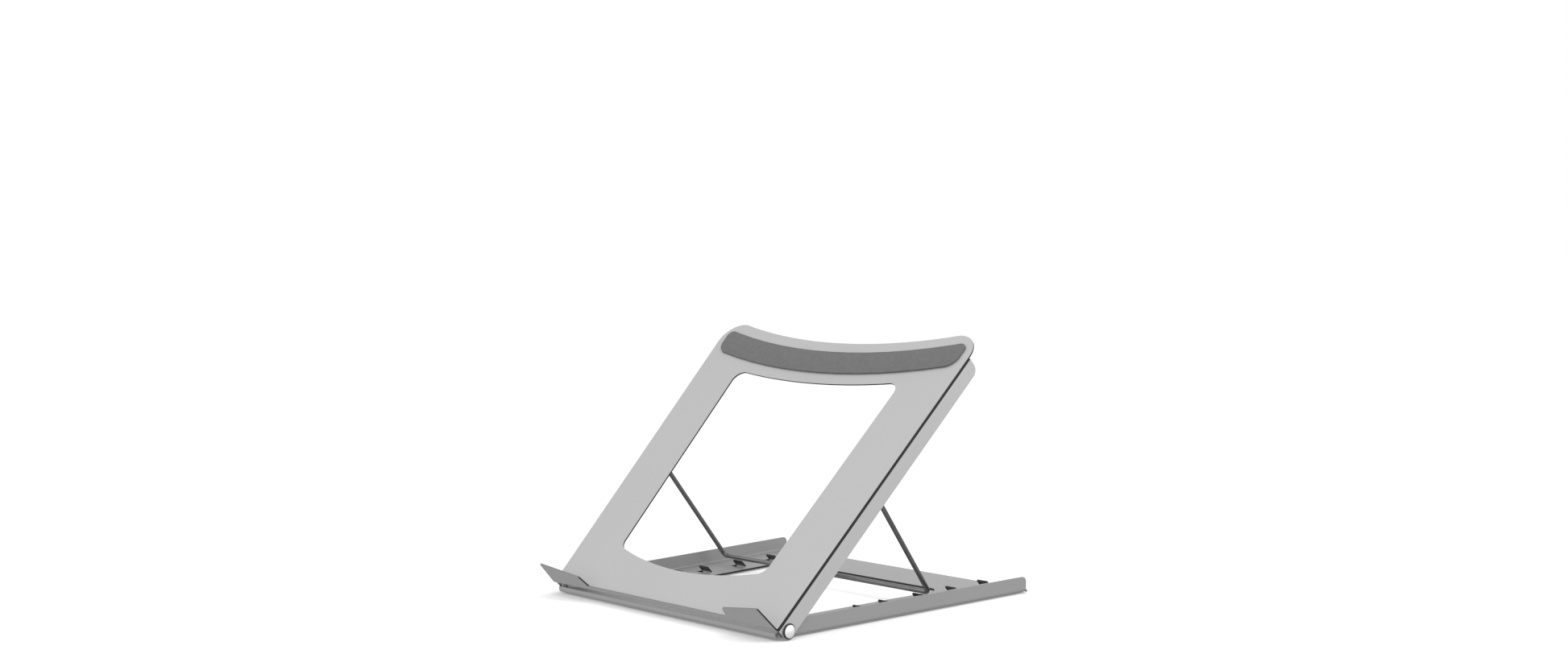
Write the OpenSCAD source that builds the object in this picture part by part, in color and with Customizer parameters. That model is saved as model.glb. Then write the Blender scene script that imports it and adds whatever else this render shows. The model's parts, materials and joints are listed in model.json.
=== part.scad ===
// Folding laptop stand: a pressed steel base tray, a slotted top plate that
// tilts on two rivets at the front, and a wire prop whose foot bar drops in
// front of one of five pairs of lanced teeth in the tray.
// X runs across the stand, Y from the front edge to the back, Z up.
// The origin is on the table, under the middle of the opened stand.

/* [Base tray] */
// Width across the front of the tray
base_front_w = 240; // [200:1:280]
// Depth of the side rails
base_depth = 258; // [230:1:290]
// Angle by which each side opens towards the back
base_taper = 2.9; // [0:0.1:4]
// Gap between the side rails and the plate when it lies flat
rail_under_plate = 1.35; // [1:0.05:2]
// Height of the low front wall
front_wall_height = 4.4; // [3.5:0.1:4.6]
// Thickness of the tray sheet
base_sheet = 1.5; // [1:0.1:1.6]
// Outer radius of the tray's bends
base_bend = 2.5; // [2:0.1:3]
// Width of the tray floor left at each side
side_border = 44; // [40:1:60]
// Width of the tray floor left at the back
rear_border = 49; // [40:1:60]
// Width of the tray floor left at the front
front_border = 40; // [34:1:60]
// Corner radius of the opening in the tray floor
base_window_r = 12; // [4:1:20]
// How far the floor runs out behind the side rails
rear_step = 3; // [2:0.5:6]

/* [Teeth] */
// Distance of each row of teeth from the side of the tray, at the front
tooth_inset = 20.5; // [16:0.5:30]
// Width of a tooth
tooth_w = 10; // [6:0.5:12]
// Height of the teeth tips above the tray floor
tooth_height = 4.7; // [4:0.1:5]
// Lean of a tooth from the floor, in degrees
tooth_lean = 45; // [40:1:60]
// Distance between the rear teeth, as a share of the tray's depth
tooth_pitch_share = 0.1473; // [0.13:0.0001:0.155]
// Distance between the two front teeth, as a share of the tray's depth
tooth_front_share = 0.1066; // [0.09:0.0001:0.13]

/* [Feet] */
// Diameter of a rubber foot
foot_d = 13; // [9:0.5:15]
// Thickness of a rubber foot
foot_h = 1; // [0.8:0.1:1.5]

/* [Top plate] */
// Tilt of the plate from the table, in degrees
plate_tilt = 44.1; // [36:0.1:50]
// How far the plate stands out past each side of the tray, at the front
plate_overhang = 3.5; // [3.4:0.1:6]
// How much longer the plate is than the tray
plate_extra_len = 5; // [0:1:12]
// Angle by which each side opens towards the top
plate_taper = 3.15; // [0:0.05:4]
// Thickness of the plate sheet
plate_sheet = 1.2; // [1:0.1:1.3]
// Outer radius of the bend at the front lip
lip_bend = 2.4; // [2.2:0.1:3]
// Radius of the hollow top edge
top_edge_r = 477; // [400:1:700]
// Corner radius at the top of the plate
top_corner_r = 19; // [10:1:24]

/* [Plate window] */
// Width of the plate left at each side of the window
window_side = 46.2; // [36:0.1:60]
// Distance from the front of the plate to the window
window_from_front = 31.3; // [26:0.5:45]
// Distance from the window to the top edge
window_from_top = 43; // [38:1:60]
// Radius of the window's upper edge
window_top_r = 546; // [400:1:800]
// Radius of the window's lower edge
window_bottom_r = 280; // [220:1:600]
// Corner radius of the window
window_corner_r = 9; // [4:1:14]

/* [Front lip] */
// Height of the low lip above the plate
lip_height = 4.4; // [3.5:0.1:8]
// Width of a hook
hook_w = 46.5; // [34:0.5:60]
// Height of a hook at its inner edge
hook_inner_h = 15; // [10:0.5:18]
// Height of a hook at its outer edge
hook_outer_h = 23; // [19:0.5:28]
// Radius where a hook's edges turn
hook_corner_r = 3; // [1:0.5:5]

/* [Pad] */
// Width of the pad
pad_w = 22; // [14:1:26]
// Distance from the top edge to the pad
pad_from_top = 10.5; // [8:0.5:14]
// Distance from the plate's sides to the pad's ends
pad_side_gap = 8; // [6:0.5:14]
// Thickness of the pad
pad_t = 1.6; // [1:0.1:2.5]

/* [Plate rails] */
// Height of the rail's front end above the table
rail_table_gap = 0.65; // [0.4:0.05:1.5]
// Thickness of the rail sheet
rail_sheet = 1; // [0.8:0.1:1]
// Outer radius of the rail's bend
rail_bend = 1.8; // [1.5:0.1:2.2]
// Width of the rail's leg under the plate
rail_leg = 12; // [10:0.5:14]
// How much shorter the rails are than the plate
rail_short = 7; // [4:1:20]

/* [Hinge rivets] */
// Distance of the pivot behind the tray's front face
pivot_y = 9.6; // [9:0.1:10.5]
// Height of the pivot above the table
pivot_z = 6.2; // [6:0.1:6.6]
// Distance of the pivot behind the plate's front face
pivot_v = 6.9; // [6.6:0.1:7.5]
// Distance of the pivot below the plate's top face
pivot_drop = 9.45; // [9.4:0.05:9.8]
// Diameter of the rivet shank
shank_d = 4; // [3.4:0.1:4.8]
// Diameter of the rivet head
head_d = 9.2; // [8:0.1:10]
// Height of the rivet head
head_h = 2.2; // [1.5:0.1:3]
// Diameter of the black washers
washer_d = 11; // [10:0.1:11.4]
// Thickness of the washer under the rivet head
washer_t = 0.5; // [0.4:0.1:0.8]
// Radial clearance of the rivet in the plate rails
pivot_fit = 0.05; // [0.02:0.01:0.1]

/* [Wire prop] */
// Diameter of the wire
wire_d = 3.8; // [3:0.1:4]
// Place of the prop pivot, as a share of the plate's length from its front
prop_pivot_share = 0.5122; // [0.5:0.0001:0.53]
// Distance of the prop pivot below the plate's top face
prop_pivot_drop = 7; // [6.5:0.1:8]
// Length of the prop from its pivot to its foot bar, as a share of the plate's length
prop_len_share = 0.4186; // [0.41:0.0001:0.43]
// Distance from the side of the tray to each leg at the pivot
leg_top_inset = 4; // [3:0.5:10]
// Distance from the side of the tray to each leg at the foot bar
leg_foot_inset = 7.5; // [4:0.5:12]
// Bend radius of the wire's centre line
wire_bend_r = 4; // [3.8:0.1:6]
// Height of the foot bar over the teeth tips
bar_over_teeth = 1.1; // [1:0.1:1.5]
// Radial clearance of the wire in its brackets
wire_fit = 0.06; // [0.03:0.01:0.1]
// Thickness of a prop bracket
bracket_t = 1.2; // [1:0.1:1.5]
// Length of a prop bracket along the rail
bracket_len = 16; // [12:1:24]
// Width of the bracket's wing under the rail
bracket_wing = 4.2; // [3.5:0.1:4.6]
// Diameter of the cap on each wire end
cap_d = 6; // [5.4:0.1:6.2]

/* [Hidden] */
$fn = 64;
LEFT = -1;
RIGHT = 1;
eps = 0.01;
through = 20;
arc_steps = 12;

// Tray
rail_height = pivot_z - foot_h + pivot_drop - plate_sheet - rail_under_plate;
tooth_x = base_front_w / 2 - tooth_inset;
tooth_pitch = tooth_pitch_share * base_depth;
tooth_front_pitch = tooth_front_share * base_depth;
floor_z = foot_h + base_sheet;
base_slope = tan(base_taper);
rail_run = base_depth / cos(base_taper);
corner_slit = 0.5;
nose_relief = 0.2;
rail_rear_r = 4;
tab_r = 2.5;
tooth_len = (tooth_height + base_sheet - base_sheet * cos(tooth_lean)) / sin(tooth_lean);
tooth_reach = tooth_len * cos(tooth_lean);
tooth_slit = 0.4;
tooth_tip_z = floor_z + tooth_height;

// Feet
foot_step = 0.6;
front_foot_y = 22;
rear_foot_y = base_depth - 12;
front_foot_inset = 20;
rear_foot_inset = 16;
front_foot_x = base_front_w / 2 + front_foot_y * base_slope - front_foot_inset;
rear_foot_x = base_front_w / 2 + rear_foot_y * base_slope - rear_foot_inset;

// Plate
plate_front_w = base_front_w + 2 * plate_overhang;
plate_len = base_depth + plate_extra_len;
window_w = plate_front_w - 2 * window_side;
hook_inner_x = plate_front_w / 2 - hook_w;
rail_nose_r = pivot_z - rail_table_gap;
rail_end_r = 6.5;
rail_depth = pivot_drop + rail_nose_r;
rail_len = plate_len - rail_short;
plate_slope = tan(plate_taper);
edge_steps = 16;
window_slope = plate_slope;
pad_top_r = top_edge_r + pad_from_top;
edge_centre_v = plate_len + top_edge_r;

// The drawn bows stop this far short of the sides, which leaves room for the corner radii
plate_bow_stop = 32;
window_low_stop = 14;
window_high_stop = 16;
pad_high_stop = 14;
pad_low_stop = 12;
pad_high_r = 7;
pad_low_r = 9;
// Rise of the window's lower edge from its middle to its corners
window_low_rise = 12;
// Lean of a hook's outer and inner edges, and the radius of its tip
hook_outer_lean = 2.5;
hook_inner_lean = 3;
hook_tip_r = 1.2;

// Prop
prop_pivot_v = prop_pivot_share * plate_len;
prop_len = prop_len_share * plate_len;
leg_top_x = base_front_w / 2 - leg_top_inset;
leg_foot_x = base_front_w / 2 - leg_foot_inset;
bar_z = tooth_tip_z + wire_d / 2 + bar_over_teeth;
prop_pivot = plate_point(prop_pivot_v, -prop_pivot_drop);
prop_fall = asin((prop_pivot.z - bar_z) / prop_len);
bar_y = prop_pivot.y + prop_len * cos(prop_fall);
tooth_lead = 1.4;
tip_y = bar_y + tooth_lead;
tooth_tips = [tip_y - tooth_pitch - tooth_front_pitch, tip_y - tooth_pitch, tip_y,
              tip_y + tooth_pitch, tip_y + 2 * tooth_pitch];

// The wire swells a little where it is bent, and its straight bars run into the bends
bend_swell = 0.06;
bend_lap = 0.3;

// Brackets stand inside the plate rails, and the caps outside the brackets
bracket_gap = 0.4;
leg_gap = 0.2;
eye_wall = 2.4;
bracket_x = leg_top_x + wire_bend_r + leg_gap;
bracket_eye_r = wire_d / 2 + eye_wall;
cap_len = 2.6;
cap_end = 1;
cap_rim = 0.8;
cap_fit = 0.02;
wire_end_x = bracket_x + bracket_t + bracket_gap + cap_len - cap_end;

// Hinge stack, measured outwards along the pivot
tray_wall_x = base_front_w / 2 + pivot_y * base_slope;
rail_face_x = plate_front_w / 2 + pivot_v * plate_slope;
tilt_gap = 0.4;
washer_gap = 0.3;
spacer_inset = 0.4;
taper_room = 0.65;
spacer_t = rail_face_x - rail_sheet - tray_wall_x - washer_gap - taper_room;
tail_washer_t = 0.8;
tail_floor_gap = 0.4;
tail_inset = 1;
tail_washer_d = 2 * (pivot_z - floor_z - tail_floor_gap);
tail_d = tail_washer_d - tail_inset;
rivet_rim = 0.6;
tail_h = 1.5;

// The middle of the opened stand, front to back
front_reach_y = plate_point(0, hook_outer_h).y;
middle_y = (front_reach_y + base_depth + rear_step) / 2;

// Place of a point of the plate: v along the plate, o out of its top face
function plate_point(v, o) =
    [0,
     pivot_y + (v - pivot_v) * cos(plate_tilt) - (o + pivot_drop) * sin(plate_tilt),
     pivot_z + (v - pivot_v) * sin(plate_tilt) + (o + pivot_drop) * cos(plate_tilt)];

function unit(v) = v / norm(v);

// Centre, first point and turn of the arc of radius r that rounds corner b
function fillet(a, b, c, r) =
    let (u = unit(a - b), w = unit(c - b), half = acos(u * w) / 2,
         centre = b + unit(u + w) * r / sin(half),
         p = b + u * r / tan(half), q = b + w * r / tan(half),
         from = atan2(p.y - centre.y, p.x - centre.x),
         to = atan2(q.y - centre.y, q.x - centre.x))
    [centre, p, q, from, (to - from + 540) % 360 - 180];

function fillet_points(a, b, c, r) =
    r == 0 ? [b] :
    let (f = fillet(a, b, c, r))
    [for (i = [0 : arc_steps]) let (turn = f[3] + f[4] * i / arc_steps) f[0] + r * [cos(turn), sin(turn)]];

// An outline with a radius at each corner
function rounded(points, radii) =
    let (n = len(points))
    [for (i = [0 : n - 1])
        each fillet_points(points[(i + n - 1) % n], points[i], points[(i + 1) % n], radii[i])];

// Points of an arc that bows by r about (0, centre), from x = -half to half.
// below is 1 for the arc's lower side and -1 for its upper side.
function bow(half, centre, r, below = 1) =
    [for (i = [0 : edge_steps])
        let (x = -half + 2 * half * i / edge_steps) [x, centre - below * sqrt(r * r - x * x)]];

// Half width of the plate at v
function plate_half(v) = plate_front_w / 2 + v * plate_slope;

// Height at which the hollow top edge meets the plate's side, by repeated substitution
function side_meets(r, inset, v, n = 6) =
    n == 0 ? v
           : let (h = plate_half(v) - inset) side_meets(r, inset, edge_centre_v - sqrt(r * r - h * h), n - 1);

module placed() translate([0, -middle_y, 0]) children();

module on_side(side) if (side == LEFT) mirror([1, 0, 0]) children(); else children();

module on_plate()
    placed() translate([0, pivot_y, pivot_z]) rotate([plate_tilt, 0, 0])
        translate([0, -pivot_v, pivot_drop]) children();

module on_prop() placed() translate(prop_pivot) rotate([-prop_fall, 0, 0]) children();

// Turns a profile drawn as (y, z) into a slab of thickness t along x
module slab_x(t) rotate([90, 0, 90]) linear_extrude(t) children();

// Runs a profile drawn as (x, z) along y
module run_y(length) translate([0, length, 0]) rotate([90, 0, 0]) linear_extrude(length) children();

// A quarter of a bend: outer radius r, sheet t, between -x and -z of its centre
module bend_profile(r, t)
    intersection() {
        difference() {
            circle(r);
            circle(r - t);
        }
        translate([0, -r]) square(r);
    }

// --- Tray ---

module tray_floor_outline() {
    half_front = base_front_w / 2 - base_bend;
    back = base_depth + rear_step;
    half_back = half_front + back * base_slope;
    polygon([[-half_front, base_bend], [half_front, base_bend], [half_back, back], [-half_back, back]]);
    // Behind the side rails the floor runs out to their outer faces
    tab_front = base_depth + corner_slit;
    tab_half = base_front_w / 2 + back * base_slope;
    polygon(rounded([[-tab_half, tab_front], [tab_half, tab_front], [tab_half, back], [-tab_half, back]],
                    [0, 0, tab_r, tab_r]));
}

module tray_window_outline() {
    near = front_border;
    far = base_depth + rear_step - rear_border;
    near_x = base_front_w / 2 + near * base_slope - side_border;
    far_x = base_front_w / 2 + far * base_slope - side_border;
    r = base_window_r;
    polygon(rounded([[-near_x, near], [near_x, near], [far_x, far], [-far_x, far]], [r, r, r, r]));
}

module tooth_slots()
    for (tip = tooth_tips, side = [LEFT, RIGHT])
        translate([side * tooth_x - tooth_w / 2 - tooth_slit, tip + tooth_reach - tooth_len])
            square([tooth_w + 2 * tooth_slit, tooth_len]);

module teeth()
    for (tip = tooth_tips, side = [LEFT, RIGHT])
        translate([side * tooth_x - tooth_w / 2, tip + tooth_reach, foot_h])
            slab_x(tooth_w)
                polygon([[0, 0], [-tooth_reach, tooth_len * sin(tooth_lean)],
                         [-tooth_reach + base_sheet * sin(tooth_lean),
                          tooth_len * sin(tooth_lean) + base_sheet * cos(tooth_lean)],
                         [base_sheet * sin(tooth_lean), base_sheet * cos(tooth_lean)]]);

module side_rail(side)
    on_side(side) translate([base_front_w / 2, 0, foot_h]) rotate([0, 0, -base_taper]) {
        start = base_sheet + corner_slit;
        front_r = rail_height - (pivot_z - foot_h);
        translate([-base_bend, base_bend, base_bend]) run_y(rail_run - base_bend)
            bend_profile(base_bend, base_sheet);
        translate([-base_sheet, 0, 0]) slab_x(base_sheet)
            polygon(rounded([[start, base_bend], [rail_run, base_bend], [rail_run, rail_height],
                             [pivot_y - front_r, rail_height], [pivot_y - front_r, base_bend + 1],
                             [start, base_bend + 1]],
                            [0, 0, rail_rear_r, front_r - nose_relief, 0, 0]));
    }

module front_wall() translate([-base_front_w / 2, 0, foot_h]) {
    slab_x(base_front_w) polygon([[0, base_bend], [base_sheet, base_bend],
                                  [base_sheet, front_wall_height], [0, front_wall_height]]);
    translate([0, base_bend, base_bend])
        slab_x(base_front_w) mirror([1, 0]) bend_profile(base_bend, base_sheet);
}

module base_tray() color("#a9abad")
    placed() difference() {
        union() {
            translate([0, 0, foot_h]) linear_extrude(base_sheet) difference() {
                tray_floor_outline();
                tray_window_outline();
                tooth_slots();
            }
            side_rail(LEFT);
            side_rail(RIGHT);
            front_wall();
            teeth();
        }
        translate([0, pivot_y, pivot_z]) rotate([0, 90, 0])
            cylinder(h = base_front_w + 2 * through, r = shank_d / 2 + pivot_fit, center = true);
    }

module foot(side, y, x) color("#222222")
    placed() translate([side * x, y, 0]) union() {
        cylinder(h = foot_h, d = foot_d - foot_step);
        translate([0, 0, foot_h / 3]) cylinder(h = foot_h * 2 / 3, d = foot_d);
    }

module foot_front_left() foot(LEFT, front_foot_y, front_foot_x);
module foot_front_right() foot(RIGHT, front_foot_y, front_foot_x);
module foot_rear_left() foot(LEFT, rear_foot_y, rear_foot_x);
module foot_rear_right() foot(RIGHT, rear_foot_y, rear_foot_x);

// --- Hinge ---

// Places a round piece on the pivot, x measured outwards from the middle
module on_pivot(side, x)
    placed() on_side(side) translate([x, pivot_y, pivot_z]) rotate([0, 90, 0]) children();

head_x = rail_face_x + tilt_gap + washer_t;
tail_x = tray_wall_x - base_sheet - washer_gap - tail_washer_t;

// A low dome of height h on a disc of diameter d, from z = 0 upwards
module dome(d, h) {
    r = (d * d / 4 + h * h) / (2 * h);
    intersection() {
        translate([0, 0, h - r]) sphere(r);
        cylinder(h = h + 1, d = d);
    }
}

module hinge_rivet(side) color("#f2f2f2") union() {
    on_pivot(side, tail_x - eps) cylinder(h = head_x - tail_x + 2 * eps, d = shank_d);
    on_pivot(side, head_x) union() {
        cylinder(h = rivet_rim, d = head_d);
        translate([0, 0, rivet_rim]) dome(head_d, head_h - rivet_rim);
    }
    on_pivot(side, tail_x) mirror([0, 0, 1]) dome(tail_d, tail_h);
}

module ring(d, bore, t) difference() {
    cylinder(h = t, d = d);
    translate([0, 0, -1]) cylinder(h = t + 2, d = bore);
}

washer_bore = shank_d + 2 * pivot_fit;

module head_washer(side) color("#1c1c1c")
    on_pivot(side, head_x - washer_t) ring(washer_d, washer_bore, washer_t);
module spacer_washer(side) color("#1c1c1c")
    on_pivot(side, tray_wall_x + washer_gap) ring(washer_d - spacer_inset, washer_bore, spacer_t);
module tail_washer(side) color("silver")
    on_pivot(side, tail_x) ring(tail_washer_d, washer_bore, tail_washer_t);

module hinge_rivet_left() hinge_rivet(LEFT);
module hinge_rivet_right() hinge_rivet(RIGHT);
module head_washer_left() head_washer(LEFT);
module head_washer_right() head_washer(RIGHT);
module spacer_washer_left() spacer_washer(LEFT);
module spacer_washer_right() spacer_washer(RIGHT);
module tail_washer_left() tail_washer(LEFT);
module tail_washer_right() tail_washer(RIGHT);

// --- Top plate ---

module plate_outline() {
    top_v = side_meets(top_edge_r, 0, plate_len);
    half_top = plate_half(top_v);
    arc = bow(half_top - plate_bow_stop, edge_centre_v, top_edge_r);
    n = len(arc);
    polygon(rounded(concat([[-plate_half(lip_bend), lip_bend], [-half_top, top_v]], arc,
                           [[half_top, top_v], [plate_half(lip_bend), lip_bend]]),
                    concat([0, top_corner_r], [for (i = [1 : n]) 0], [top_corner_r, 0])));
}

module window_outline() {
    low_centre = window_from_front + window_bottom_r;
    high_centre = plate_len - window_from_top + window_top_r;
    low_half = window_w / 2 + (window_from_front + window_low_rise) * window_slope;
    high_half = window_w / 2 + (plate_len - window_from_top) * window_slope;
    low = bow(low_half - window_low_stop, low_centre, window_bottom_r);
    high = bow(high_half - window_high_stop, high_centre, window_top_r);
    low_v = low_centre - sqrt(window_bottom_r * window_bottom_r - low_half * low_half);
    high_v = high_centre - sqrt(window_top_r * window_top_r - high_half * high_half);
    n = edge_steps + 1;
    r = window_corner_r;
    polygon(rounded(concat([[-low_half, low_v]], low, [[low_half, low_v], [high_half, high_v]],
                           [for (i = [n - 1 : -1 : 0]) high[i]], [[-high_half, high_v]]),
                    concat([r], [for (i = [1 : n]) 0], [r, r], [for (i = [1 : n]) 0], [r])));
}

// The lip and its two hooks, drawn as (x, height above the plate)
module lip_outline() {
    half = plate_front_w / 2;
    low = lip_bend - plate_sheet;
    r = hook_corner_r;
    tip_x = half - hook_outer_lean;
    notch_x = hook_inner_x + hook_inner_lean;
    polygon(rounded([[-half, low], [half, low], [tip_x, hook_outer_h], [notch_x, hook_inner_h],
                     [hook_inner_x, lip_height], [-hook_inner_x, lip_height],
                     [-notch_x, hook_inner_h], [-tip_x, hook_outer_h]],
                    [0, 0, hook_tip_r, r, r, r, r, hook_tip_r]));
}

module top_plate() color("#c6c8ca")
    on_plate() union() {
        translate([0, 0, -plate_sheet]) linear_extrude(plate_sheet) difference() {
            plate_outline();
            window_outline();
        }
        translate([-plate_front_w / 2, lip_bend, lip_bend - plate_sheet])
            slab_x(plate_front_w) mirror([1, 0]) bend_profile(lip_bend, plate_sheet);
        translate([0, plate_sheet, 0]) rotate([90, 0, 0]) linear_extrude(plate_sheet) lip_outline();
    }

module top_pad() color("#6f7173")
    on_plate() linear_extrude(pad_t) {
        high_r = pad_top_r;
        low_r = pad_top_r + pad_w;
        high_v = side_meets(high_r, pad_side_gap, plate_len);
        low_v = side_meets(low_r, pad_side_gap, plate_len - pad_w);
        high_half = plate_half(high_v) - pad_side_gap;
        low_half = plate_half(low_v) - pad_side_gap;
        high = bow(high_half - pad_high_stop, edge_centre_v, high_r);
        low = bow(low_half - pad_low_stop, edge_centre_v, low_r);
        n = edge_steps + 1;
        polygon(rounded(concat([[-low_half, low_v]], low, [[low_half, low_v], [high_half, high_v]],
                               [for (i = [n - 1 : -1 : 0]) high[i]], [[-high_half, high_v]]),
                        concat([pad_low_r], [for (i = [1 : n]) 0], [pad_low_r, pad_high_r],
                               [for (i = [1 : n]) 0], [pad_high_r])));
    }

module plate_rail(side) color("#b4b6b8")
    on_plate() on_side(side) difference() {
        translate([plate_front_w / 2, 0, -plate_sheet]) rotate([0, 0, -plate_taper]) {
            start = pivot_v - rail_nose_r;
            stop = start + rail_len;
            drop = rail_depth - plate_sheet;
            translate([-rail_sheet, 0, 0]) slab_x(rail_sheet)
                polygon(rounded([[start, -rail_bend], [stop, -rail_bend], [stop, -drop], [start, -drop]],
                                [0, 0, rail_end_r, rail_nose_r]));
            translate([-rail_bend, start, -rail_bend]) run_y(rail_len)
                mirror([0, 1]) bend_profile(rail_bend, rail_sheet);
            translate([-rail_leg, start + lip_bend, -rail_sheet])
                cube([rail_leg - rail_bend, rail_len - lip_bend, rail_sheet]);
        }
        translate([0, pivot_v, -pivot_drop]) rotate([0, 90, 0])
            cylinder(h = plate_front_w, r = shank_d / 2 + pivot_fit);
    }

module plate_rail_left() plate_rail(LEFT);
module plate_rail_right() plate_rail(RIGHT);

// --- Prop ---

module prop_bracket(side) color("#9a9c9e")
    on_plate() on_side(side) translate([bracket_x, prop_pivot_v, 0]) difference() {
        top_o = -plate_sheet - rail_sheet;
        union() {
            translate([0, -bracket_len / 2, top_o - bracket_t]) cube([bracket_wing, bracket_len, bracket_t]);
            slab_x(bracket_t) union() {
                translate([0, -prop_pivot_drop]) circle(bracket_eye_r);
                polygon([[-bracket_eye_r, -prop_pivot_drop], [bracket_eye_r, -prop_pivot_drop],
                         [bracket_len / 2, top_o], [-bracket_len / 2, top_o]]);
            }
        }
        translate([-1, 0, -prop_pivot_drop]) rotate([0, 90, 0])
            cylinder(h = bracket_t + 2, r = wire_d / 2 + wire_fit);
    }

module prop_bracket_left() prop_bracket(LEFT);
module prop_bracket_right() prop_bracket(RIGHT);

// A round bar from p to q in the plane of the prop
module bar(p, q) translate([p.x, p.y, 0]) rotate([0, 0, atan2(q.y - p.y, q.x - p.x)])
    rotate([0, 90, 0]) cylinder(h = norm(q - p), d = wire_d);

// The wire, as straight bars that lap into round bends, through the points of a path
module bent_wire(path) {
    last = len(path) - 1;
    bends = [for (i = [1 : last - 1]) fillet(path[i - 1], path[i], path[i + 1], wire_bend_r)];
    for (i = [0 : last - 1]) {
        lap = bend_lap * unit(path[i + 1] - path[i]);
        bar(i == 0 ? path[0] : bends[i - 1][2] - lap, i == last - 1 ? path[last] : bends[i][1] + lap);
    }
    for (b = bends)
        translate([b[0].x, b[0].y, 0]) rotate([0, 0, min(b[3], b[3] + b[4])])
            rotate_extrude(angle = abs(b[4])) translate([wire_bend_r, 0]) circle(d = wire_d + bend_swell);
}

module wire_prop() color("#8c8e90")
    on_prop() bent_wire([[-wire_end_x, 0], [-leg_top_x, 0], [-leg_foot_x, prop_len],
                         [leg_foot_x, prop_len], [leg_top_x, 0], [wire_end_x, 0]]);

module prop_cap(side) color("#303234")
    on_prop() on_side(side) translate([bracket_x + bracket_t + bracket_gap, 0, 0]) rotate([0, 90, 0])
        difference() {
            union() {
                cylinder(h = cap_rim, d = cap_d);
                cylinder(h = cap_len, d = cap_d - cap_rim);
            }
            translate([0, 0, -cap_end]) cylinder(h = cap_len, r = wire_d / 2 + cap_fit);
        }

module prop_cap_left() prop_cap(LEFT);
module prop_cap_right() prop_cap(RIGHT);

base_tray();
foot_front_left();
foot_front_right();
foot_rear_left();
foot_rear_right();
hinge_rivet_left();
hinge_rivet_right();
head_washer_left();
head_washer_right();
spacer_washer_left();
spacer_washer_right();
tail_washer_left();
tail_washer_right();
top_plate();
top_pad();
plate_rail_left();
plate_rail_right();
prop_bracket_left();
prop_bracket_right();
wire_prop();
prop_cap_left();
prop_cap_right();
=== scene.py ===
import json
import math

import bpy
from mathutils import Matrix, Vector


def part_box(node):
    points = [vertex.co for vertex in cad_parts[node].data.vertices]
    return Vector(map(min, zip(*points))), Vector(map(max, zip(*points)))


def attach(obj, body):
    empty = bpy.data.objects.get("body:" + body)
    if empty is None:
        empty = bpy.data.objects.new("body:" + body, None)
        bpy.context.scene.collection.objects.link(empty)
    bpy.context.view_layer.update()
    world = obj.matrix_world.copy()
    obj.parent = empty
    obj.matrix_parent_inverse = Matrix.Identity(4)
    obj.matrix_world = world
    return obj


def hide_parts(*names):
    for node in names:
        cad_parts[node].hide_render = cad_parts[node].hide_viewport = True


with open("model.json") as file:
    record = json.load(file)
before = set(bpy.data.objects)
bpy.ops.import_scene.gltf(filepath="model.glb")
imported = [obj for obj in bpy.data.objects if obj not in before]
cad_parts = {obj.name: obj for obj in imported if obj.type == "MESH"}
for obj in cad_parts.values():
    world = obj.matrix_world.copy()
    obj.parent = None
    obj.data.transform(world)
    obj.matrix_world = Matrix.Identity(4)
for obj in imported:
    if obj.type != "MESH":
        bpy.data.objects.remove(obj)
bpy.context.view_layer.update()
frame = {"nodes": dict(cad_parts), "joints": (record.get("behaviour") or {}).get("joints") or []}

nodes = frame["nodes"]

# --- Camera and studio ---
# A long-lens view from the front right, a little above the table, on an endless
# white sheet, faintly lit from below. Broad soft light comes from overhead and from
# all round, brightest in front, with a softbox high on the right.

bpy.ops.object.select_all(action="DESELECT")
bpy.ops.object.camera_add(
    location=(1.0118, -0.9841, 0.2748),
    rotation=(math.radians(90 - 2.84), 0, math.radians(45.66)),
)
camera = bpy.context.active_object
camera.name = "camera"
camera.data.lens = 42.24
camera.data.sensor_width = 36
camera.data.clip_start = 0.01
bpy.context.scene.camera = camera


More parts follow.
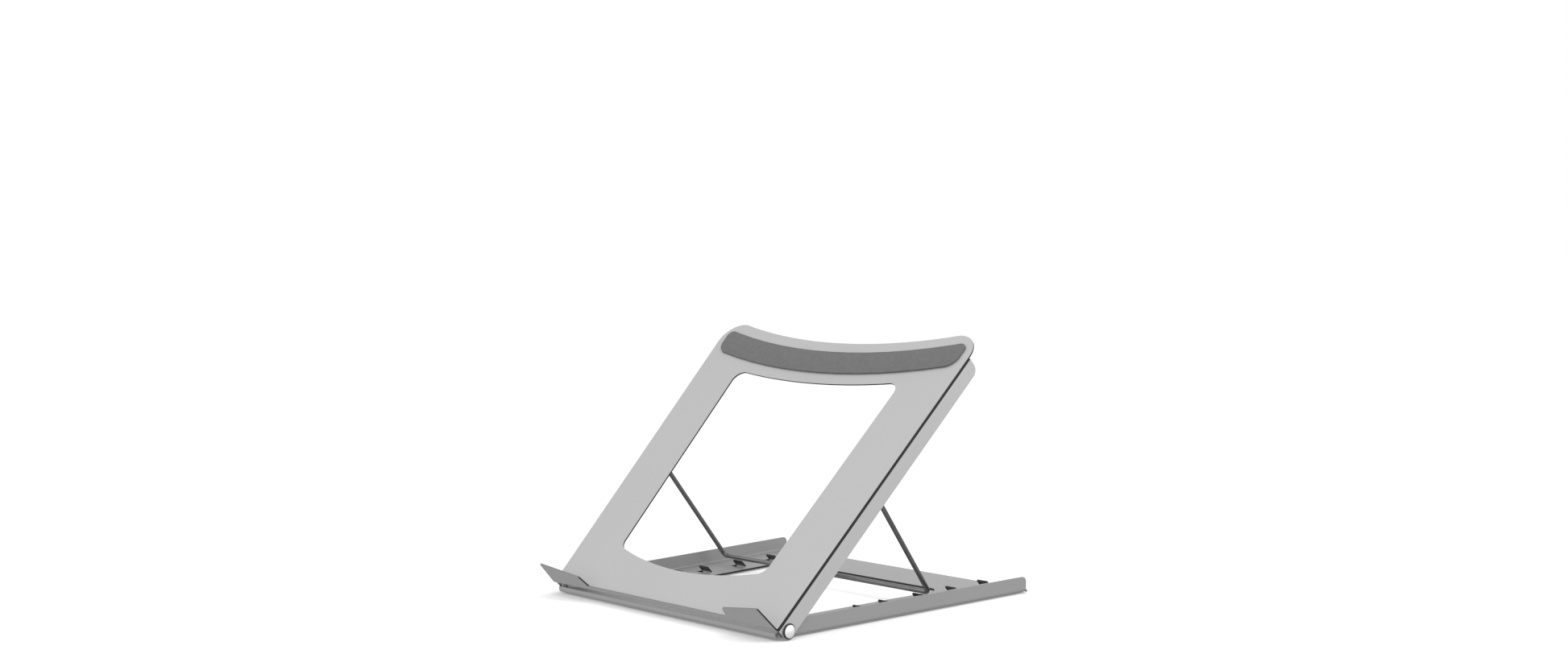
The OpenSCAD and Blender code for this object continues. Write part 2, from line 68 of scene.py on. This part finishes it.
class Shade:
    """A shader socket on which + - * / build Math nodes."""

    def __init__(self, tree, socket):
        self.tree = tree
        self.socket = socket

    def node(self, kind, settings=(), inputs=(), output=0):
        made = self.tree.nodes.new("ShaderNode" + kind)
        for name, value in dict(settings).items():
            if name == "stops":
                ramp = made.color_ramp
                while len(ramp.elements) < len(value):
                    ramp.elements.new(0.5)
                for element, (place, tone) in zip(ramp.elements, value):
                    element.position = place
                    element.color = (tone, tone, tone, 1)
            else:
                setattr(made, name, value)
        for name, value in dict(inputs).items():
            if isinstance(value, Shade):
                self.tree.links.new(value.socket, made.inputs[name])
            else:
                made.inputs[name].default_value = value
        return Shade(self.tree, made.outputs[output])

    def dot(self, direction):
        return self.node("VectorMath", {"operation": "DOT_PRODUCT"},
                         {0: self, 1: direction}, output=1)

    def over(self, edge, blur):
        """1 where this is well over edge, 0 well under it"""
        return ((self - edge) / blur + 0.5).clamp()

    def math(self, operation, *values):
        return self.node("Math", {"operation": operation}, dict(enumerate(values)))

    def clamp(self):
        return self.node("Clamp", inputs={"Value": self})

    def mix(self, low, high):
        """low where this is 0 and high where it is 1, both colours"""
        return self.node("Mix", {"data_type": "RGBA"}, {0: self, 6: low, 7: high}, output=2)

    def axis(self, letter):
        return self.node("SeparateXYZ", inputs={0: self}, output=letter)

    def noise(self, scale, detail=3, stretch=(1, 1, 1)):
        place = self.node("Mapping", inputs={"Vector": self, "Scale": stretch})
        return place.node("TexNoise", inputs={"Vector": place, "Scale": scale, "Detail": detail})

    def __add__(self, other): return self.math("ADD", self, other)
    def __radd__(self, other): return self.math("ADD", other, self)
    def __sub__(self, other): return self.math("SUBTRACT", self, other)
    def __rsub__(self, other): return self.math("SUBTRACT", other, self)
    def __mul__(self, other): return self.math("MULTIPLY", self, other)
    def __rmul__(self, other): return self.math("MULTIPLY", other, self)
    def __truediv__(self, other): return self.math("DIVIDE", self, other)
    def __abs__(self): return self.math("ABSOLUTE", self)


def new_finish(name, **fixed):
    """A material with fixed shader values, its shader node and Object coordinates"""
    material = bpy.data.materials.new(name)
    material.use_nodes = True
    tree = material.node_tree
    shader = tree.nodes["Principled BSDF"]
    for socket, value in fixed.items():
        shader.inputs[socket.replace("_", " ")].default_value = value
    coordinates = tree.nodes.new("ShaderNodeTexCoord")
    return material, shader, Shade(tree, coordinates.outputs["Object"])


def feed(shader, value, socket):
    value.tree.links.new(value.socket, shader.inputs[socket])


def raise_grain(shader, height, distance, strength=1.0):
    """Feeds a Bump node: distance is the relief in metres"""
    bump = height.node("Bump", inputs={
        "Height": height, "Distance": distance, "Strength": strength})
    feed(shader, bump, "Normal")


def grey(tone, warmth=0.0):
    return (tone * (1 + warmth), tone, tone * (1 - warmth), 1)


paper, paper_shader, place = new_finish("paper_sheet", Roughness=0.9, Specular_IOR_Level=0.0,
                                        Emission_Strength=0.06)
mottle = place.noise(2.0)
feed(paper_shader, mottle.mix(grey(0.98), grey(1.0)), "Base Color")

bpy.ops.object.select_all(action="DESELECT")
bpy.ops.mesh.primitive_plane_add(size=60, location=(0, 0, -0.0002))
floor = bpy.context.active_object
floor.name = "studio_floor"
floor.data.materials.append(paper)
floor.visible_diffuse = False
floor.visible_glossy = False

world = bpy.data.worlds.new("studio")
world.use_nodes = True
bpy.context.scene.world = world
bpy.context.scene.view_settings.view_transform = "Standard"
air = world.node_tree
sky = Shade(air, air.nodes.new("ShaderNodeTexCoord").outputs["Generated"])
rise = sky.axis("Z") * 0.5 + 0.5
below_to_above = [(0.0, 0.46), (0.47, 0.52), (0.54, 1.0), (1.0, 0.88)]
dome = rise.node("ValToRGB", {"stops": below_to_above}, {0: rise})
from_right = 0.20
from_front = 0.75
gain = 0.85 + sky.axis("X").clamp() * from_right + (0 - sky.axis("Y")).clamp() * from_front
seen = Shade(air, air.nodes.new("ShaderNodeLightPath").outputs["Is Camera Ray"])
backdrop = air.nodes["Background"]
backdrop.inputs["Color"].default_value = (1, 1, 1, 1)
feed(backdrop, seen + (1 - seen) * (dome * gain), "Strength")

bpy.ops.object.light_add(type="AREA", location=(0.0, -0.2, 2.2))
overhead = bpy.context.active_object
overhead.name = "overhead"
overhead.data.size = 2.2
overhead.data.energy = 8

bpy.ops.object.light_add(type="AREA", location=(0.72, 0.34, 0.52))
softbox = bpy.context.active_object
softbox.name = "right_softbox"
lit_side = Vector((0.12, 0.0, 0.12))
softbox.rotation_euler = (lit_side - softbox.location).to_track_quat("-Z", "Y").to_euler()
softbox.data.size = 0.45
softbox.data.energy = 2.8
softbox.visible_glossy = False


# --- Tray ---
# One pressed steel sheet, sprayed satin silver-grey: floor, side rails and low
# front wall. Its ten teeth are lanced up out of the floor; they, the walls of their
# slots and the upright edges of the opening are painted near black as painted shade.

def sprayed_steel(name, tone, shine, painted_shade_mask=None):
    """Satin silver-grey paint on steel: fine flake, soft orange peel, faint cloudiness.
    The last argument takes the place and the facing of a point, and is 1 where near-black
    painted shade is laid over the paint."""
    material, shader, place = new_finish(name, Metallic=0.45, IOR=1.5)
    cloud = place.noise(9.0, 2)
    flake = place.noise(5200.0, 1)
    peel = place.noise(900.0, 2)
    light = (0.5 + (cloud - 0.5) * 0.25 + (flake - 0.5) * 0.5).clamp()
    paint = light.mix(grey(tone * 0.90), grey(tone * 1.10))
    gloss = shine + (cloud - 0.5) * 0.08 + (flake - 0.5) * 0.12
    if painted_shade_mask:
        facing = Shade(place.tree, place.socket.node.outputs["Normal"])
        # Painted shade: near black laid over the paint where the mask is 1
        painted_shade_amount = painted_shade_mask(place, facing).clamp()
        paint = painted_shade_amount.mix(paint, flake.mix(grey(0.02), grey(0.05)))
        gloss = gloss + painted_shade_amount * 0.15
    feed(shader, paint, "Base Color")
    feed(shader, gloss.clamp(), "Roughness")
    raise_grain(shader, peel + flake * 0.4, 0.00002, 0.35)
    return material


def coat(node, material):
    """Gives a carried-over CAD node its finish"""
    nodes[node].data.materials.clear()
    nodes[node].data.materials.append(material)


tooth_x = 0.0995
tooth_half_w = 0.0056
floor_top = 0.0025
front_bend = 0.006
opening_reach = 0.112
tray_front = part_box("base_tray")[0].y


def painted_tooth_shade(place, facing):
    """Painted shade: near black on the teeth, the walls of their slots and the edges of the tray's
    opening
    """
    x, y, z = (place.axis(letter) for letter in "XYZ")
    behind_front = y.over(tray_front + front_bend, 0.0004)
    in_row = 1 - abs(abs(x) - tooth_x).over(tooth_half_w, 0.0002)
    raised = z.over(floor_top + 0.0003, 0.0002)
    upright = 1 - abs(facing.axis("Z")).over(0.5, 0.1)
    inside = 1 - abs(x).over(opening_reach, 0.0004)
    return behind_front * (in_row * raised + inside * upright)


# The tray's tone is set darker than the plate's, though both carry one paint: painted shade for the
# light falling less on the tray.
coat("base_tray", sprayed_steel("tray_paint", 0.375, 0.42, painted_tooth_shade))

# --- Feet ---
# Four round stick-on feet of matt black rubber under the corners of the tray.

rubber, rubber_shader, place = new_finish("foot_rubber_black", IOR=1.45)
speck = place.noise(2600.0, 2)
feed(rubber_shader, speck.mix(grey(0.012), grey(0.03)), "Base Color")
feed(rubber_shader, 0.7 + (speck - 0.5) * 0.3, "Roughness")
raise_grain(rubber_shader, speck, 0.00004, 0.5)
for end in ("front", "rear"):
    for side in ("left", "right"):
        coat(f"foot_{end}_{side}", rubber)

# --- Hinge rivets and washers ---
# Bright nickel-plated domed rivets through both rails, with a black nylon washer
# under each head, one between the rails and a zinc-plated one under the tail.

nickel, nickel_shader, place = new_finish("bright_nickel", Metallic=0.4)
swirl = place.noise(700.0, 2)
feed(nickel_shader, swirl.mix(grey(0.93), grey(0.98)), "Base Color")
feed(nickel_shader, 0.16 + swirl * 0.12, "Roughness")
raise_grain(nickel_shader, swirl, 0.00001, 0.3)

nylon, nylon_shader, place = new_finish("black_nylon", IOR=1.5)
grain = place.noise(1800.0, 2)
feed(nylon_shader, grain.mix(grey(0.006), grey(0.018)), "Base Color")
feed(nylon_shader, 0.5 + (grain - 0.5) * 0.3, "Roughness")
raise_grain(nylon_shader, grain, 0.00002, 0.4)

zinc, zinc_shader, place = new_finish("zinc_plate", Metallic=0.9)
spangle = place.noise(420.0, 3)
feed(zinc_shader, spangle.mix(grey(0.38), grey(0.52)), "Base Color")
feed(zinc_shader, 0.32 + (spangle - 0.5) * 0.25, "Roughness")
raise_grain(zinc_shader, spangle, 0.00002, 0.3)

for side in ("left", "right"):
    coat(f"hinge_rivet_{side}", nickel)
    coat(f"head_washer_{side}", nylon)
    coat(f"spacer_washer_{side}", nylon)
    coat(f"tail_washer_{side}", zinc)

# --- Top plate ---
# The slotted sheet that carries the laptop, with its front lip and two hooks bent
# up. Its faces are sprayed, and its cut edges are painted near black as painted shade
# for the shadow gap along them.

tilt_joint = frame["joints"][0]
tilt = -math.radians(tilt_joint["range_deg"][0])
pivot = Vector(tilt_joint["pos_m"])
along = Vector((0, math.cos(tilt), math.sin(tilt)))
outward = Vector((0, -math.sin(tilt), math.cos(tilt)))
pivot_behind_lip = 0.0069
pivot_below_face = 0.00945
lip_foot = pivot - along * pivot_behind_lip + outward * pivot_below_face


def painted_edge_shade(place, facing):
    """Painted shade on the cut edges: of the flat, of the lip and hooks, and at the sides"""
    reach = place.dot(along) - lip_foot.dot(along)
    height = place.dot(outward) - lip_foot.dot(outward)
    on_flat = reach.over(0.006, 0.0004)
    on_lip = height.over(0.0016, 0.0002) * (1 - reach.over(0.003, 0.0004))
    across_flat = 1 - abs(facing.dot(outward)).over(0.5, 0.1)
    across_lip = 1 - abs(facing.dot(along)).over(0.5, 0.1)
    return on_flat * across_flat + on_lip * across_lip * 0.55 + abs(facing.axis("X")).over(0.6, 0.1)


coat("top_plate", sprayed_steel("plate_paint", 0.487, 0.40, painted_edge_shade))

# --- Plate rails, prop brackets and caps ---
# Channels welded under both sides of the plate, of the same sprayed sheet, with painted
# shade along the seam under the plate. Each carries a zinc-plated eye for the prop, and a
# black cap keeps the wire in it.

# How far the painted seam shade reaches
seam_shade_reach = 0.0027  # below the plate's top face


def seam_painted_shade(place, facing):
    """Painted shade in the seam under the plate, where the rail turns in"""
    near_plate = (place.dot(outward) - lip_foot.dot(outward)).over(-seam_shade_reach, 0.0003)
    return near_plate * facing.dot(outward).over(-0.5, 0.1)


# The rails' tone is set lighter than the plate's, though both carry one paint: painted light for
# the light falling more on the rails.
rail_paint = sprayed_steel("rail_paint", 0.59, 0.38, seam_painted_shade)
for side in ("left", "right"):
    coat(f"plate_rail_{side}", rail_paint)
    coat(f"prop_bracket_{side}", zinc)
    coat(f"prop_cap_{side}", nylon)

# --- Pad ---
# A curved strip of dense grey foam rubber, die-cut and stuck on below the plate's
# hollow top edge, with softly rounded rims and a fine open grain.

pad_centre = 0.740
pad_inner_r = 0.4875
pad_w = 0.022
pad_t = 0.0016
pad_half_front = 0.1155
pad_side_slope = 0.05503
pad_turn = 0.56
pad_corner = 0.008
pad_rim = 0.0005

bpy.ops.object.select_all(action="DESELECT")
bpy.ops.mesh.primitive_plane_add(size=pad_w, location=(0, 0, 0))
pad = bpy.context.active_object
pad.name = "foam_pad"
bpy.ops.object.mode_set(mode="EDIT")
bpy.ops.mesh.select_all(action="DESELECT")
bpy.ops.object.mode_set(mode="OBJECT")
for vertex in pad.data.vertices:
    vertex.select = vertex.co.x > 0
bpy.ops.object.mode_set(mode="EDIT")
bpy.ops.mesh.delete(type="VERT")
bpy.ops.mesh.select_all(action="SELECT")
bpy.ops.transform.translate(value=(pad_w / 2, pad_centre - pad_inner_r - pad_w / 2, 0))
bpy.ops.transform.rotate(value=-pad_turn / 2, orient_axis="Z", center_override=(0, pad_centre, 0))
bpy.ops.mesh.spin(steps=14, angle=pad_turn, center=(0, pad_centre, 0), axis=(0, 0, 1))
for side in (-1, 1):
    bpy.ops.mesh.select_all(action="SELECT")
    bpy.ops.mesh.bisect(plane_co=(side * pad_half_front, 0, 0), plane_no=(side, -pad_side_slope, 0),
                        clear_outer=True)
bpy.ops.object.mode_set(mode="OBJECT")


def at_end(co):
    return abs(abs(co.x) - co.y * pad_side_slope - pad_half_front) < 0.0001


bpy.ops.object.mode_set(mode="EDIT")
bpy.ops.mesh.select_all(action="DESELECT")
bpy.ops.object.mode_set(mode="OBJECT")
for vertex in pad.data.vertices:
    vertex.select = at_end(vertex.co)
bpy.ops.object.mode_set(mode="EDIT")
bpy.ops.mesh.select_mode(type="VERT")
bpy.ops.mesh.bevel(offset=pad_corner, segments=7, affect="VERTICES")
bpy.ops.mesh.select_all(action="SELECT")
bpy.ops.object.mode_set(mode="OBJECT")
if pad.data.polygons[0].normal.z < 0:
    bpy.ops.object.mode_set(mode="EDIT")
    bpy.ops.mesh.flip_normals()
    bpy.ops.object.mode_set(mode="OBJECT")

thick = pad.modifiers.new("thickness", "SOLIDIFY")
thick.thickness = pad_t
thick.offset = 1
bpy.ops.object.modifier_apply(modifier="thickness")
rim = pad.modifiers.new("rim", "BEVEL")
rim.width = pad_rim
rim.segments = 3
rim.angle_limit = math.radians(50)
bpy.ops.object.modifier_apply(modifier="rim")
bpy.ops.object.shade_smooth_by_angle(angle=math.radians(40))
pad.rotation_euler = (tilt, 0, 0)
pad.location = lip_foot
bpy.ops.object.transform_apply(location=True, rotation=True, scale=True)

foam, foam_shader, place = new_finish("grey_foam_rubber", IOR=1.45)
pores = place.noise(1500.0, 4)
coarse = place.noise(260.0, 3)
fleck = (0.5 + (pores - 0.5) * 0.9 + (coarse - 0.5) * 0.5).clamp()
feed(foam_shader, fleck.mix(grey(0.092), grey(0.178)), "Base Color")
feed(foam_shader, 0.78 + (pores - 0.5) * 0.3, "Roughness")
raise_grain(foam_shader, pores + coarse * 0.5, 0.00012, 0.6)
pad.data.materials.append(foam)
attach(pad, "plate")
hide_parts("top_pad")

# --- Wire prop ---
# Bright-drawn steel wire, bent cold into two legs and a foot bar: dark, with a
# drawn lustre and fine scratches.

wire, wire_shader, place = new_finish("drawn_wire", Metallic=1.0)
drawn = place.noise(1500.0, 2)
blotch = place.noise(90.0, 3)
lustre = (0.5 + (drawn - 0.5) * 0.6 + (blotch - 0.5) * 0.7).clamp()
feed(wire_shader, lustre.mix(grey(0.11), grey(0.30)), "Base Color")
feed(wire_shader, 0.14 + drawn * 0.14, "Roughness")
raise_grain(wire_shader, drawn, 0.00001, 0.3)
coat("wire_prop", wire)
